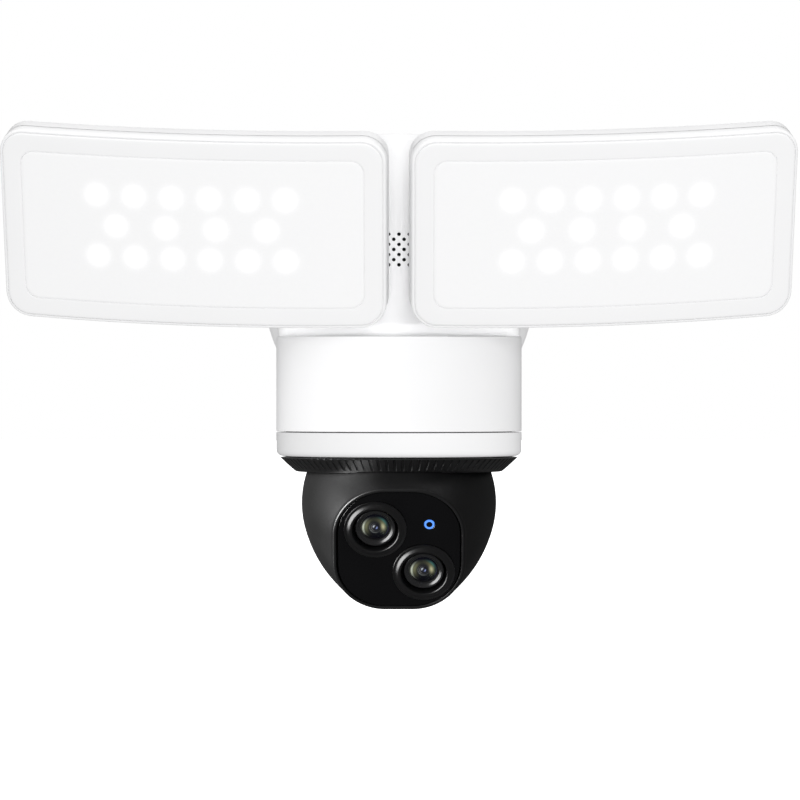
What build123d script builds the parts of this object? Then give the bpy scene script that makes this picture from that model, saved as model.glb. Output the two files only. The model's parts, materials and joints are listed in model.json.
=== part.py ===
from build123d import *
from math import cos, pi, radians, sin, tan
import os

# Floodlight camera for an outside wall, in millimetres.
# Origin: centre of the wall plate's back face. +Y into the wall, -Y front, +Z up, +X right seen from
# the front. Everything hangs off one upright body that a neck holds clear of the wall.

# ---- driving dimensions ----
# wall canopy
CANOPY_R = 58.5
CANOPY_FRONT = -34.0
CANOPY_WALL = 2.5
PLATE_T = 2.0
PLATE_R = 52.0
BOX_SCREW_SPACING = 79.4
BOX_SLOT_LENGTH = 14.6
BOX_HOLE_R = 2.4
STUD_X = 46.0
STUD_R = 2.0
CANOPY_CORNER = 9.0
WIRE_HOLE_R = 18.0
CABLE_BORE_R = 14.0
GROMMET_BORE_R = 8.0
NECK_SCREW_CIRCLE_R = 19.5

# upright body: a round column with a crowned front, standing on a wider drum
AXIS_Y = -102.0
COLUMN_R = 50.0
COLUMN_TOP = 62.4
COLUMN_FRONT = -120.0
COLUMN_FOOT = -40.0
COLUMN_FRONT_FILLET = 7.0
COLUMN_TOP_CHAMFER = 2.8
CROWN_RISE = 5.0
CROWN_HALF_WIDTH = 46.0
SPLIT_Y = -104.0
GASKET_T = 1.0
BOSS_R = 4.0
BOSS_DEPTH = 7.0
WALL = 2.5
NECK_R = 26.0
NECK_Z = 12.0
SPEAKER_Z = 15.0
SPEAKER_R = 16.3
SPEAKER_FRONT = -116.5
SPEAKER_HOLE_R = 0.75
SPEAKER_HOLE_PITCH = (4.2, 2.08)
BOARD_T = 1.6
MAIN_BOARD_FACE = -96.6
POWER_BOARD_FACE = -70.6
BUTTON_R = 4.2
BUTTON_ANGLE = 50.0
BUTTON_Z = 40.0

# screws and their holes
SCREW_R = 1.5
SCREW_HEAD_R = 3.0
SCREW_CLEARANCE = 0.3
THREAD_PLAY = 0.05

# light bracket on the column's side
BRACKET_INNER_X = 52.0
BRACKET_OUTER_X = 60.0
BRACKET_EYE_R = 9.0
BRACKET_FOOT = ((-104.0, 40.0), (-82.0, 40.0), (-82.0, 12.0), (-104.0, 12.0))
TILT_BOLT_R = 4.0
TILT_THREAD_R = 3.2

DRUM_R = 50.6
SHELF_FRONT_Z = -21.0
SHELF_SLOPE = 1.08
SEAM_Z = -59.2
DRUM_BOTTOM = -69.4
DRUM_LID = 2.5
DRUM_OPENING_R = 46.0
DRUM_BOSS_CIRCLE_R = 44.8
TRIM_INNER_R = 47.3
TRIM_FILLET = 2.6

# pan drive, inside the drum
CHASSIS_TOP = -30.0
CHASSIS_T = 3.0
HUB_R = 11.0
BUSH_R = 14.0
RUNNING = 0.06
GEAR_MODULE = 1.0
GEAR_TEETH = 70
PINION_TEETH = 10
GEAR_CENTRES = GEAR_MODULE * (GEAR_TEETH + PINION_TEETH) / 2 + 0.1
PINION_Z = -38.7
MOTOR_R = 12.0
MOTOR_SHAFT_R = 2.5
TABLE_Z = -42.0
TABLE_T = 3.0
TABLE_BOSS_DROP = 1.1
SKIRT_R = 46.6
SKIRT_T = 2.2
YOKE_R = 31.0
RIB_TOP = -69.8
RIB_TOP_R = 48.8
RIB_BOTTOM = -75.8
RIB_BOTTOM_R = 42.0

# camera head
HEAD_Z = -88.7
HEAD_R = 40.15
HEAD_TILT = 26.0
HEAD_WALL = 2.0
NOSE_START = 6.1
NOSE_SECTIONS = 6
FACE_DIST = 41.3
FACE_HALF_U = 26.0
FACE_HALF_V = 27.3
FACE_CORNER = 20.4
FACE_RIM = 1.3
# how steeply the nose narrows where it meets the face
SIDE_FALL = -25.6
TOP_FALL = -10.2
DIAGONAL_FALL = -13.6
HEAD_TRAVEL = 58.0
LENSES = [(-9.5, 9.25), (10.0, -10.3)]
STATUS_LIGHT = (12.2, 11.4)
BEZEL_R = 12.6
BARREL_R = 8.0
GLASS_R = 5.05
ARM_X = 19.0
ARM_T = 3.0
TILT_PIN_R = 2.0

# light panels
PANEL_CENTRE = (82.1, -165.0, 19.1)
PANEL_W = 153.5
PANEL_H = 78.5
PANEL_CORNER = 10.0
PANEL_BEND_R = 491.0
PANEL_TILT = 22.0
PANEL_YAW = 5.7
COVER_DEPTH = 6.2
PANEL_DEPTH = 17.0
MARGIN = 8.5
PIVOT_DEPTH = 30.0
BACK_FILLET = 4.8
WINDOW_CORNER = 5.5
WINDOW_PLAY = 0.2
SWIVEL_PIN_R = 3.0
LUG_GAP = 9.0
LUG_T = 5.0
LUG_R = 8.0
LED_BOARD_FACE = 9.6
LED_PITCH = 15.0
LED_ROW_PITCH = 12.7

os.makedirs("parts", exist_ok=True)
BASE = (Align.CENTER, Align.CENTER, Align.MIN)
AXIS = Pos(0, AXIS_Y, 0)


# ---- helpers ----
def rod(start, direction, radius, length):
    """Round bar from a start point along a direction."""
    return Plane(origin=start, z_dir=direction) * Cylinder(radius, length, align=BASE)


def tube(start, direction, outer, inner, length):
    """Round tube from a start point along a direction."""
    return rod(start, direction, outer, length) - rod(start, direction, inner, length)


def disc(radius, low, high):
    """Disc on the body's upright axis between two heights."""
    return AXIS * Pos(0, 0, low) * Cylinder(radius, high - low, align=BASE)


def ring(outer, inner, low, high):
    """Ring on the body's upright axis between two heights."""
    return disc(outer, low, high) - disc(inner, low, high)


def block(x0, x1, y0, y1, z0, z1):
    """Box between two corners."""
    return Pos((x0 + x1) / 2, (y0 + y1) / 2, (z0 + z1) / 2) * Box(x1 - x0, y1 - y0, z1 - z0)


def turned(points):
    """Solid turned about the body's upright axis from (radius, height) points."""
    outline = Plane.XZ * make_face(Polyline(*points, close=True))
    return AXIS * revolve(outline, Axis.Z, 360)


def screw(start, direction, radius, length, head_r, head_h):
    """Pan-head screw: start is under the head, direction points along the shank."""
    backwards = Vector(*direction) * -1
    head = rod(start, backwards, head_r, head_h) - rod(Vector(*start) + backwards * head_h * 0.5,
                                                       backwards, head_r * 0.4, head_h)
    return rod(start, direction, radius, length) + head


def export(node, *solids):
    """Write one named piece, or a group of identical pieces."""
    shapes = []
    for solid in solids:
        shapes.extend(solid.solids())
    export_step(Compound(children=shapes, label=node), f"parts/{node}.step")


def spur_gear(teeth, height):
    """Spur gear about +Z with straight flanks and a little backlash."""
    pitch_r = GEAR_MODULE * teeth / 2
    backlash = 0.25
    half_thick = GEAR_MODULE * pi / 4 - backlash / 2
    points = []
    for index in range(teeth):
        middle = 2 * pi * index / teeth
        corners = ((-1.2, -1), (0.85, -1), (0.85, 1), (-1.2, 1))
        for height_mod, side in corners:
            rise = height_mod * GEAR_MODULE
            half = (half_thick - rise * tan(radians(20))) / pitch_r
            radius = pitch_r + rise
            points.append((radius * cos(middle + side * half), radius * sin(middle + side * half)))
    return extrude(make_face(Polyline(*points, close=True)), height)


# ---- wall canopy ----
def mounting_bracket():
    plate = rod((0, 0, 0), (0, -1, 0), PLATE_R, PLATE_T)
    plate -= rod((0, 1, 0), (0, -1, 0), WIRE_HOLE_R, PLATE_T + 2)
    slot = SlotOverall(BOX_SLOT_LENGTH, 2 * BOX_HOLE_R, rotation=90)
    for side in (-1, 1):
        centre = Plane(origin=(0, 1, side * BOX_SCREW_SPACING / 2), x_dir=(1, 0, 0), z_dir=(0, -1, 0))
        plate -= extrude(centre * slot, PLATE_T + 2)
        plate -= rod((side * STUD_X, 1, 0), (0, -1, 0), STUD_R, PLATE_T + 2)
    return plate


def canopy_shell():
    inner_r = CANOPY_R - CANOPY_WALL
    outer = rod((0, -PLATE_T, 0), (0, -1, 0), CANOPY_R, -CANOPY_FRONT - PLATE_T)
    outer = fillet(outer.edges().filter_by(GeomType.CIRCLE).sort_by(Axis.Y)[0], CANOPY_CORNER)
    inner = rod((0, -PLATE_T, 0), (0, -1, 0), inner_r, -CANOPY_FRONT - PLATE_T - CANOPY_WALL)
    inner_corner = CANOPY_CORNER - CANOPY_WALL
    inner = fillet(inner.edges().filter_by(GeomType.CIRCLE).sort_by(Axis.Y)[0], inner_corner)
    shell = outer - inner - rod((0, 0, NECK_Z), (0, -1, 0), CABLE_BORE_R, 60)
    for x, z in neck_screw_places():
        shell -= rod((x, 0, z), (0, -1, 0), SCREW_R + SCREW_CLEARANCE, 60)
    for side in (-1, 1):
        shell -= rod((side * STUD_X, 0, 0), (0, -1, 0), STUD_R + SCREW_CLEARANCE, 60)
    return shell


def canopy_gasket():
    set_back = 0.5
    play = 0.8
    return tube((0, 0, 0), (0, -1, 0), CANOPY_R - set_back, PLATE_R + play, PLATE_T)


def canopy_studs():
    showing = 5
    length = -CANOPY_FRONT + showing
    return [rod((side * STUD_X, 0, 0), (0, -1, 0), STUD_R, length) for side in (-1, 1)]


def cap_nuts():
    hex_r, hex_h = 4.4, 5.0
    cap_r = 3.7
    washer_r, washer_t = 5.4, 1.0
    nuts = []
    for side in (-1, 1):
        seat = Plane(origin=(side * STUD_X, CANOPY_FRONT, 0), z_dir=(0, -1, 0))
        body = seat * extrude(RegularPolygon(hex_r, 6), hex_h)
        top = seat * Pos(0, 0, hex_h)
        cap = top * Sphere(cap_r) & top * Cylinder(washer_r, washer_r, align=BASE)
        washer = seat * Cylinder(washer_r, washer_t, align=BASE)
        bore = seat * Cylinder(STUD_R, hex_h + 0.2, align=BASE)
        nuts.append(body + cap + washer - bore)
    return nuts


def neck_screw_places():
    places = []
    for angle in (45, 135, 225, 315):
        x = NECK_SCREW_CIRCLE_R * cos(radians(angle))
        z = NECK_Z + NECK_SCREW_CIRCLE_R * sin(radians(angle))
        places.append((x, z))
    return places


def neck_screws():
    seat = CANOPY_FRONT + CANOPY_WALL
    length, head_h = 10, 2.0
    return [screw((x, seat, z), (0, -1, 0), SCREW_R, length, SCREW_HEAD_R, head_h)
            for x, z in neck_screw_places()]


def wire_grommet():
    face = CANOPY_FRONT + CANOPY_WALL
    lip_r, lip_t = 16.5, 2.0
    lip = tube((0, face + lip_t, NECK_Z), (0, -1, 0), lip_r, GROMMET_BORE_R, lip_t)
    sleeve = tube((0, face, NECK_Z), (0, -1, 0), CABLE_BORE_R, GROMMET_BORE_R, CANOPY_WALL)
    return lip + sleeve


# ---- upright body ----
def column_solid(inset):
    """Column outline, shrunk all round by an inset; its foot runs below the shelf."""
    radius = COLUMN_R - inset
    front = COLUMN_FRONT + inset
    height = COLUMN_TOP - inset - COLUMN_FOOT
    crown_r = CROWN_HALF_WIDTH ** 2 / (2 * CROWN_RISE)
    body = AXIS * Pos(0, 0, COLUMN_FOOT) * Cylinder(radius, height, align=BASE)
    crown = Pos(0, front + crown_r, COLUMN_FOOT - 1) * Cylinder(crown_r, height + 2, align=BASE)
    body = body & crown
    upright = body.edges().filter_by(Axis.Z)
    front_edges = [edge for edge in upright if edge.center().Y < SPLIT_Y]
    body = fillet(front_edges, COLUMN_FRONT_FILLET)
    top = body.faces().sort_by(Axis.Z)[-1]
    return chamfer(top.edges(), COLUMN_TOP_CHAMFER)


def shelf_plane(lift):
    """Top of the drum: it drains to the front."""
    slope = radians(SHELF_SLOPE)
    front = (0, AXIS_Y - DRUM_R, SHELF_FRONT_Z + lift)
    return Plane(origin=front, x_dir=(1, 0, 0), z_dir=(0, -sin(slope), cos(slope)))


def above_shelf(solid, lift):
    keep = shelf_plane(lift) * Box(400, 400, 200, align=BASE)
    return solid & keep


def light_screw_places():
    """Depth and height of the two screws that hold a light bracket to the column."""
    return [(-92.0, 19.0), (-92.0, 33.0)]


def rear_housing():
    shell = column_solid(0) - column_solid(WALL)
    shell = shell & block(-60, 60, SPLIT_Y, -40, -60, 80)
    shell = above_shelf(shell, 0.1)
    wall_y = CANOPY_FRONT
    neck = rod((0, wall_y, NECK_Z), (0, -1, 0), NECK_R, 30)
    neck -= column_solid(0.01)
    neck -= rod((0, wall_y + 1, NECK_Z), (0, -1, 0), CABLE_BORE_R, 40)
    shell += neck
    shell -= rod((0, wall_y - 10, NECK_Z), (0, -1, 0), CABLE_BORE_R, 20)
    for x, z in neck_screw_places():
        shell -= rod((x, wall_y + 1, z), (0, -1, 0), SCREW_R, 11)
    for x, z in cover_screw_places():
        boss = rod((x, SPLIT_Y, z), (0, 1, 0), BOSS_R, BOSS_DEPTH) & column_solid(0.5)
        shell += above_shelf(boss, 0.1)
        shell -= rod((x, SPLIT_Y - 1, z), (0, 1, 0), SCREW_R, BOSS_DEPTH + 3)
    for side in (-1, 1):
        for y, z in light_screw_places():
            shell -= rod((side * 30, y, z), (side, 0, 0), SCREW_R + 0.1, 40)
    shell -= rod(button_point(30), button_direction(), BUTTON_R + SCREW_CLEARANCE, 30)
    return shell


def cover_screw_places():
    return [(side * 44.0, z) for side in (-1, 1) for z in (2.0, 53.5)]


def speaker_holes():
    """Seven rows of three and two holes in turn, round the speaker's axis."""
    across, down = SPEAKER_HOLE_PITCH
    places = []
    for row in range(7):
        columns = (-across, 0.0, across) if row % 2 == 0 else (-across / 2, across / 2)
        for x in columns:
            places.append((x, SPEAKER_Z + (row - 3) * down))
    return places


def front_cover():
    shell = column_solid(0) - column_solid(WALL)
    back = SPLIT_Y - GASKET_T
    shell = shell & block(-60, 60, -140, back, -60, 80)
    shell = above_shelf(shell, 0.1)
    for x, z in cover_screw_places():
        post = rod((x, back, z), (0, -1, 0), BOSS_R, 30) & column_solid(0.5)
        shell += above_shelf(post, 0.1)
        shell -= rod((x, back + 1, z), (0, -1, 0), SCREW_R, 9)
    bore_r = SPEAKER_R + SCREW_CLEARANCE
    ring_wall = tube((0, -110, SPEAKER_Z), (0, -1, 0), bore_r + 1.9, bore_r, 20)
    shell += ring_wall & column_solid(0.5)
    for x, z in speaker_holes():
        shell -= rod((x, -100, z), (0, -1, 0), SPEAKER_HOLE_R, 40)
    return shell


def housing_gasket():
    band = column_solid(0.4) - column_solid(WALL - 0.2)
    band = band & block(-60, 60, SPLIT_Y - GASKET_T, SPLIT_Y, -60, 80)
    return above_shelf(band, 0.1)


def cover_screws():
    """Long screws from the rear housing's bosses into the front cover's posts."""
    seat = SPLIT_Y + BOSS_DEPTH
    radius = SCREW_R - THREAD_PLAY
    return [screw((x, seat, z), (0, -1, 0), radius, 14, 2.8, 1.8) for x, z in cover_screw_places()]


def speaker():
    def part(offset, radius, depth):
        return rod((0, SPEAKER_FRONT + offset, SPEAKER_Z), (0, 1, 0), radius, depth)

    basket = part(0, SPEAKER_R, 3.0) - part(-0.1, SPEAKER_R - 2.3, 1.2)
    dust_cap = part(1.0, 5.0, 1.0)
    magnet = part(3.0, 10.0, 6.5)
    return basket + dust_cap + magnet


def main_board():
    face = MAIN_BOARD_FACE
    back = face + BOARD_T
    board = block(-40, 40, face, back, -6, 54)
    chips = block(-14, 4, face - 1.6, face, 26, 44) + block(12, 30, face - 2.0, face, 30, 42)
    chips += block(-34, -20, face - 1.4, face, 4, 16) + block(14, 34, back, back + 2.5, -2, 12)
    return board + chips


def power_board():
    return block(-27, 27, POWER_BOARD_FACE, POWER_BOARD_FACE + BOARD_T, -8, 52)


def power_parts():
    """Transformer, two capacitors and a choke standing on the power board."""
    face = POWER_BOARD_FACE
    capacitor_r, capacitor_l = 6, 20
    choke_r, choke_l = 8, 10
    transformer = block(-20, 4, face - 17, face, 20, 42)
    parts = [transformer]
    for x, z in ((15, 36), (15, 18)):
        parts.append(rod((x, face, z), (0, -1, 0), capacitor_r, capacitor_l))
    parts.append(rod((-10, face, 2), (0, -1, 0), choke_r, choke_l))
    return parts


def light_bracket():
    """Right-hand bracket: a foot on the column's side and an eye for the light's tilt hinge."""
    _, y_pivot, z_pivot = pivot_point()
    thick = BRACKET_OUTER_X - BRACKET_INNER_X
    eye = rod((BRACKET_INNER_X, y_pivot, z_pivot), (1, 0, 0), BRACKET_EYE_R, thick)
    side = [(y_pivot, z_pivot - BRACKET_EYE_R), (y_pivot, z_pivot + BRACKET_EYE_R), *BRACKET_FOOT]
    web = extrude(Plane.YZ * make_face(Polyline(*side, close=True)), thick)
    web = web.moved(Pos(BRACKET_INNER_X, 0, 0))
    foot = block(44, BRACKET_INNER_X + 2, -112, -82, 12, 40)
    foot = foot - column_solid(-0.05)
    body = eye + web + foot
    body -= rod((BRACKET_INNER_X - 1, y_pivot, z_pivot), (1, 0, 0), TILT_BOLT_R + RUNNING, thick + 4)
    for y, z in light_screw_places():
        body -= rod((40, y, z), (1, 0, 0), SCREW_R, 17)
    return body


def light_bracket_screws():
    seat = 45.4
    radius = SCREW_R - THREAD_PLAY
    return [screw((side * seat, y, z), (side, 0, 0), radius, 11, SCREW_HEAD_R, 1.8)
            for side in (-1, 1) for y, z in light_screw_places()]


def button_direction():
    return (sin(radians(BUTTON_ANGLE)), cos(radians(BUTTON_ANGLE)), 0)


def button_point(radius):
    dx, dy, _ = button_direction()
    return (dx * radius, AXIS_Y + dy * radius, BUTTON_Z)


def sync_button():
    flange_r, flange_t = 6.0, 1.6
    cap = rod(button_point(44.5), button_direction(), BUTTON_R, 6.6)
    flange = rod(button_point(43.2), button_direction(), flange_r, flange_t)
    return cap + flange


# ---- drum ----
def drum_bosses():
    reach = DRUM_BOSS_CIRCLE_R * sin(radians(45))
    return [(sx * reach, AXIS_Y + sy * reach) for sx in (-1, 1) for sy in (-1, 1)]


def lower_shell():
    body = disc(DRUM_R, SEAM_Z, 0) - above_shelf(disc(80, -40, 20), 0)
    inside = disc(DRUM_R - WALL, SEAM_Z - 1, 0) - above_shelf(disc(80, -40, 20), -DRUM_LID)
    body -= inside
    opening = disc(DRUM_OPENING_R, -40, 0) & block(-60, 60, -115.0, -40, -40, 0)
    body -= opening
    for x, y in drum_bosses():
        boss = Pos(x, y, CHASSIS_TOP) * Cylinder(BOSS_R, 7, align=BASE)
        body += boss & disc(DRUM_R - 1, -40, 0)
        body -= Pos(x, y, CHASSIS_TOP) * Cylinder(SCREW_R, 5.5, align=BASE)
    return body


def trim_ring():
    seam = 0.4
    points = [
        (TRIM_INNER_R, SEAM_Z - seam),
        (DRUM_R, SEAM_Z - seam),
        (DRUM_R, DRUM_BOTTOM),
        (TRIM_INNER_R, DRUM_BOTTOM),
    ]
    body = turned(points)
    low_edge = [edge for edge in body.edges().filter_by(GeomType.CIRCLE)
                if abs(edge.center().Z - DRUM_BOTTOM) < 0.01 and edge.radius > DRUM_R - 0.1]
    body = fillet(low_edge, TRIM_FILLET)
    return body + ring(DRUM_R - WALL - 0.1, TRIM_INNER_R, SEAM_Z - seam - 0.1, SEAM_Z + 3)


def drive_chassis():
    plate = disc(DRUM_R - WALL - 0.3, CHASSIS_TOP - CHASSIS_T, CHASSIS_TOP)
    hub = disc(HUB_R, TABLE_Z - 3, CHASSIS_TOP)
    body = plate + hub - disc(HUB_R - 3, -60, 0)
    body -= Pos(GEAR_CENTRES, AXIS_Y, -60) * Cylinder(3.4, 60, align=BASE)
    for x, y in drum_bosses():
        body -= Pos(x, y, -60) * Cylinder(SCREW_R + SCREW_CLEARANCE, 60, align=BASE)
    return body


def chassis_screws():
    low = CHASSIS_TOP - CHASSIS_T
    radius = SCREW_R - THREAD_PLAY
    return [screw((x, y, low), (0, 0, 1), radius, 8, 2.2, 1.2) for x, y in drum_bosses()]


def pan_bearing():
    return ring(BUSH_R, HUB_R, -43.0, CHASSIS_TOP - CHASSIS_T)


def pan_retainer():
    retainer_r = 17.0
    return ring(retainer_r, HUB_R, TABLE_Z - 2.7, TABLE_Z - 1.4)


def pan_motor():
    can_x = GEAR_CENTRES - 8.0
    ear_reach = MOTOR_R + 3
    can = Pos(can_x, AXIS_Y, CHASSIS_TOP) * Cylinder(MOTOR_R, 18, align=BASE)
    ears = block(can_x - 2.5, can_x + 2.5, AXIS_Y - ear_reach, AXIS_Y + ear_reach,
                 CHASSIS_TOP, CHASSIS_TOP + 1.2)
    body = can + ears
    return body - Pos(GEAR_CENTRES, AXIS_Y, CHASSIS_TOP - 1) * Cylinder(MOTOR_SHAFT_R, 8, align=BASE)


def pan_pinion():
    """Pinion with its motor shaft; the tooth gap faces the big gear."""
    gear = Rotation(0, 0, 180 / PINION_TEETH) * spur_gear(PINION_TEETH, 3.6)
    body = Pos(GEAR_CENTRES, AXIS_Y, PINION_Z) * gear
    shaft = Cylinder(MOTOR_SHAFT_R - RUNNING, 12, align=BASE)
    return body + Pos(GEAR_CENTRES, AXIS_Y, PINION_Z + 2.7) * shaft


def yoke_screw_places():
    return [(sx * 24.5, AXIS_Y + sy * 6.0) for sx in (-1, 1) for sy in (-1, 1)]


def turntable():
    table_top = TABLE_Z + TABLE_T
    gear = AXIS * Pos(0, 0, table_top) * spur_gear(GEAR_TEETH, 4)
    plate = disc(SKIRT_R, TABLE_Z, table_top)
    boss = disc(20, TABLE_Z - TABLE_BOSS_DROP, -34.0)
    skirt = ring(SKIRT_R, SKIRT_R - SKIRT_T, RIB_TOP, table_top)
    body = plate + gear + boss + skirt
    body -= disc(BUSH_R + RUNNING, -60, 0)
    for x, y in yoke_screw_places():
        body -= Pos(x, y, -60) * Cylinder(1.3, 24, align=BASE)
    return body


def yoke():
    """Ring plate under the turntable with two arms that reach into the head."""
    step = TABLE_Z - TABLE_BOSS_DROP
    body = ring(YOKE_R, 18.0, step - 2.5, step)
    body += ring(YOKE_R, 20.4, step, TABLE_Z)
    for side in (-1, 1):
        low = min(side * ARM_X, side * (ARM_X + ARM_T))
        body += block(low, low + ARM_T, AXIS_Y - 2.8, AXIS_Y + 2.8, HEAD_Z, TABLE_Z - 2.0)
        body += rod((low, AXIS_Y, HEAD_Z), (1, 0, 0), 5.0, ARM_T)
    body -= rod((-40, AXIS_Y, HEAD_Z), (1, 0, 0), TILT_PIN_R + RUNNING, 80)
    for x, y in yoke_screw_places():
        body -= Pos(x, y, -60) * Cylinder(1.6, 40, align=BASE)
    return body


def yoke_screws():
    seat = TABLE_Z - TABLE_BOSS_DROP - 2.5
    return [screw((x, y, seat), (0, 0, 1), 1.25, 5, 2.4, 1.4) for x, y in yoke_screw_places()]


def ribbed_ring():
    """Conical ring under the turret with a thin lip round the head, relieved for the nose."""
    thick = 1.5
    collar_r = SKIRT_R - SKIRT_T - 0.1
    collar_top = -66.0
    lip_r = 39.0
    lip_t = 1.2
    points = [
        (collar_r, collar_top),
        (collar_r, RIB_TOP - 0.01),
        (RIB_TOP_R, RIB_TOP - 0.01),
        (RIB_TOP_R, RIB_TOP - 0.6),
        (RIB_BOTTOM_R + 1.6, RIB_BOTTOM + 0.9),
        (RIB_BOTTOM_R, RIB_BOTTOM),
        (RIB_BOTTOM_R - 0.4, RIB_BOTTOM),
        (collar_r - thick, RIB_TOP - 1.6),
        (collar_r - thick, collar_top),
    ]
    cone = turned(points)
    lip = turned([
        (lip_r, RIB_BOTTOM),
        (RIB_BOTTOM_R - 0.2, RIB_BOTTOM),
        (RIB_BOTTOM_R + 1.0, RIB_BOTTOM + lip_t),
        (lip_r, RIB_BOTTOM + lip_t),
    ])
    lip -= block(-60, 60, AXIS_Y - 60, AXIS_Y, -80, -60)
    return cone + lip - head_place() * head_solid(-0.4)


def tilt_motor():
    """Geared motor between the yoke arms; its shaft is the head's left pin."""
    can_r, can_l = 10, 14
    can = rod((-ARM_X + 0.1, AXIS_Y, HEAD_Z), (1, 0, 0), can_r, can_l)
    return can - rod((-ARM_X - 1, AXIS_Y, HEAD_Z), (1, 0, 0), MOTOR_SHAFT_R, 11)


# ---- head ----
def head_place():
    """Head frame: +Z out of the face, +X right, +Y up the face."""
    tilt = radians(HEAD_TILT)
    return Plane(origin=(0, AXIS_Y, HEAD_Z), x_dir=(1, 0, 0), z_dir=(0, -cos(tilt), -sin(tilt)))


def face_outline(inset, height):
    """Outline of the face, drawn in by an inset, at a distance from the ball's centre."""
    wide = 2 * (FACE_HALF_U - inset)
    tall = 2 * (FACE_HALF_V - inset)
    return Plane(origin=(0, 0, height)) * RectangleRounded(wide, tall, FACE_CORNER - inset)


def eased(share, start, end, start_slope, end_slope):
    """Smooth value between two ends that leaves and arrives at set slopes."""
    square = share ** 2
    cube = share ** 3
    leaving = start * (2 * cube - 3 * square + 1) + start_slope * (cube - 2 * square + share)
    return leaving + end * (3 * square - 2 * cube) + end_slope * (cube - square)


def nose_section(share, inset):
    """Cross-section of the nose: round where it leaves the ball, a rounded square at the face."""
    ball_r = HEAD_R - inset
    start_r = (ball_r ** 2 - NOSE_START ** 2) ** 0.5
    length = FACE_DIST - NOSE_START
    fall = -NOSE_START / start_r * length
    end_u = FACE_HALF_U - inset
    end_v = FACE_HALF_V - inset
    end_corner = FACE_CORNER - inset
    end_diagonal = ((end_u + end_v) / 2 - end_corner) * 2 ** 0.5 + end_corner
    half_u = eased(share, start_r, end_u, fall, SIDE_FALL)
    half_v = eased(share, start_r, end_v, fall, TOP_FALL)
    diagonal = eased(share, start_r, end_diagonal, fall, DIAGONAL_FALL)
    corner = ((half_u + half_v) / 2 * 2 ** 0.5 - diagonal) / (2 ** 0.5 - 1)
    corner = min(corner, half_u - 0.05, half_v - 0.05)
    height = NOSE_START + share * length
    return Plane(origin=(0, 0, height)) * RectangleRounded(2 * half_u, 2 * half_v, corner)


def head_solid(inset):
    """Ball that blends into a rounded square face, in the head frame."""
    ball_r = HEAD_R - inset
    sections = [nose_section(step / NOSE_SECTIONS, inset) for step in range(NOSE_SECTIONS + 1)]
    nose = loft(sections, ruled=True)
    back_of_ball = Pos(0, 0, -60) * Box(120, 120, 60 + NOSE_START, align=BASE)
    return (Sphere(ball_r) & back_of_ball) + nose


def head_shell():
    shell = head_solid(0) - head_solid(HEAD_WALL)
    shell -= extrude(face_outline(FACE_RIM, FACE_DIST - 3), 6)
    shell = head_place() * shell
    middle = HEAD_TRAVEL / 2
    half_span = middle + 6.0
    steps = 6
    wedge = [(0, 0)]
    for step in range(steps + 1):
        angle = radians(90 - (middle - half_span + 2 * half_span * step / steps))
        wedge.append((60 * cos(angle), 60 * sin(angle)))
    slot = extrude(Plane.YZ * make_face(Polyline(*wedge, close=True)), 48)
    return shell - slot.moved(Pos(-24, AXIS_Y, HEAD_Z))


def face_plate():
    low = FACE_DIST - 2.6
    plate = extrude(face_outline(FACE_RIM + 0.2, low), 2.2)
    for u, v in LENSES:
        plate -= Pos(u, v, low - 1) * Cylinder(BEZEL_R - 1.4, 6, align=BASE)
    u, v = STATUS_LIGHT
    plate -= Pos(u, v, low - 1) * Cylinder(2.2, 6, align=BASE)
    return head_place() * plate


def lens_bezels():
    rings = []
    for u, v in LENSES:
        base = Pos(u, v, FACE_DIST - 5.0)
        sleeve = Cylinder(BEZEL_R - 1.5, 5.0, align=BASE) - Cylinder(BEZEL_R - 3.0, 5.0, align=BASE)
        lip = Pos(0, 0, 4.65) * (Cylinder(BEZEL_R, 1.3, align=BASE)
                                 - Cylinder(BEZEL_R - 3.0, 1.3, align=BASE))
        rings.append(head_place() * (base * (sleeve + lip)))
    return rings


def lens_barrels():
    barrels = []
    for u, v in LENSES:
        body = Pos(u, v, 15.0) * Cylinder(BARREL_R - 1.0, 18, align=BASE)
        body += Pos(u, v, 32.0) * Cylinder(BARREL_R, 8.4, align=BASE)
        body -= Pos(u, v, 36.6) * Cylinder(GLASS_R + 1.0, 6, align=BASE)
        body -= Pos(u, v, 34.6) * Cylinder(GLASS_R - 0.6, 6, align=BASE)
        body -= Pos(u, v, 14.0) * Cylinder(GLASS_R - 1.5, 24, align=BASE)
        barrels.append(head_place() * body)
    return barrels


def lens_glasses():
    glasses = []
    for u, v in LENSES:
        seat = Pos(u, v, 36.7)
        dome_r = 9.0
        dome = Pos(0, 0, 2.6 - dome_r) * Sphere(dome_r) & Cylinder(GLASS_R + 0.9, 4, align=BASE)
        glasses.append(head_place() * (seat * dome))
    return glasses


def sensor_boards():
    boards = []
    for u, v in LENSES:
        board = Pos(u, v, 13.2) * Box(17, 17, 1.6, align=BASE)
        boards.append(head_place() * board)
    return boards


def head_frame():
    """Carrier that holds the lens barrels and takes the tilt pins."""
    low, high = 24.0, 26.5
    plate = extrude(face_outline(-1.0, low), high - low)
    for u, v in LENSES:
        plate -= Pos(u, v, low - 1) * Cylinder(BARREL_R - 0.9, 6, align=BASE)
    for u, v in head_screw_places():
        plate += Pos(u, v, high) * Cylinder(2.6, FACE_DIST - 2.7 - high, align=BASE)
        plate -= Pos(u, v, low - 1) * Cylinder(1.2, 30, align=BASE)
    for side in (-1, 1):
        x = side * 26.0
        arm = Pos(x, 0, -5) * Box(4.0, 10, low + 6, align=BASE)
        arm -= Plane(origin=(x - 4, 0, 0), z_dir=(1, 0, 0)) * Cylinder(2.0, 8, align=BASE)
        plate += arm
    return head_place() * plate


def head_screw_places():
    return [(-15.8, -16.0), (15.5, 17.6), (-20.0, -3.8), (20.0, 3.5)]


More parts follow.
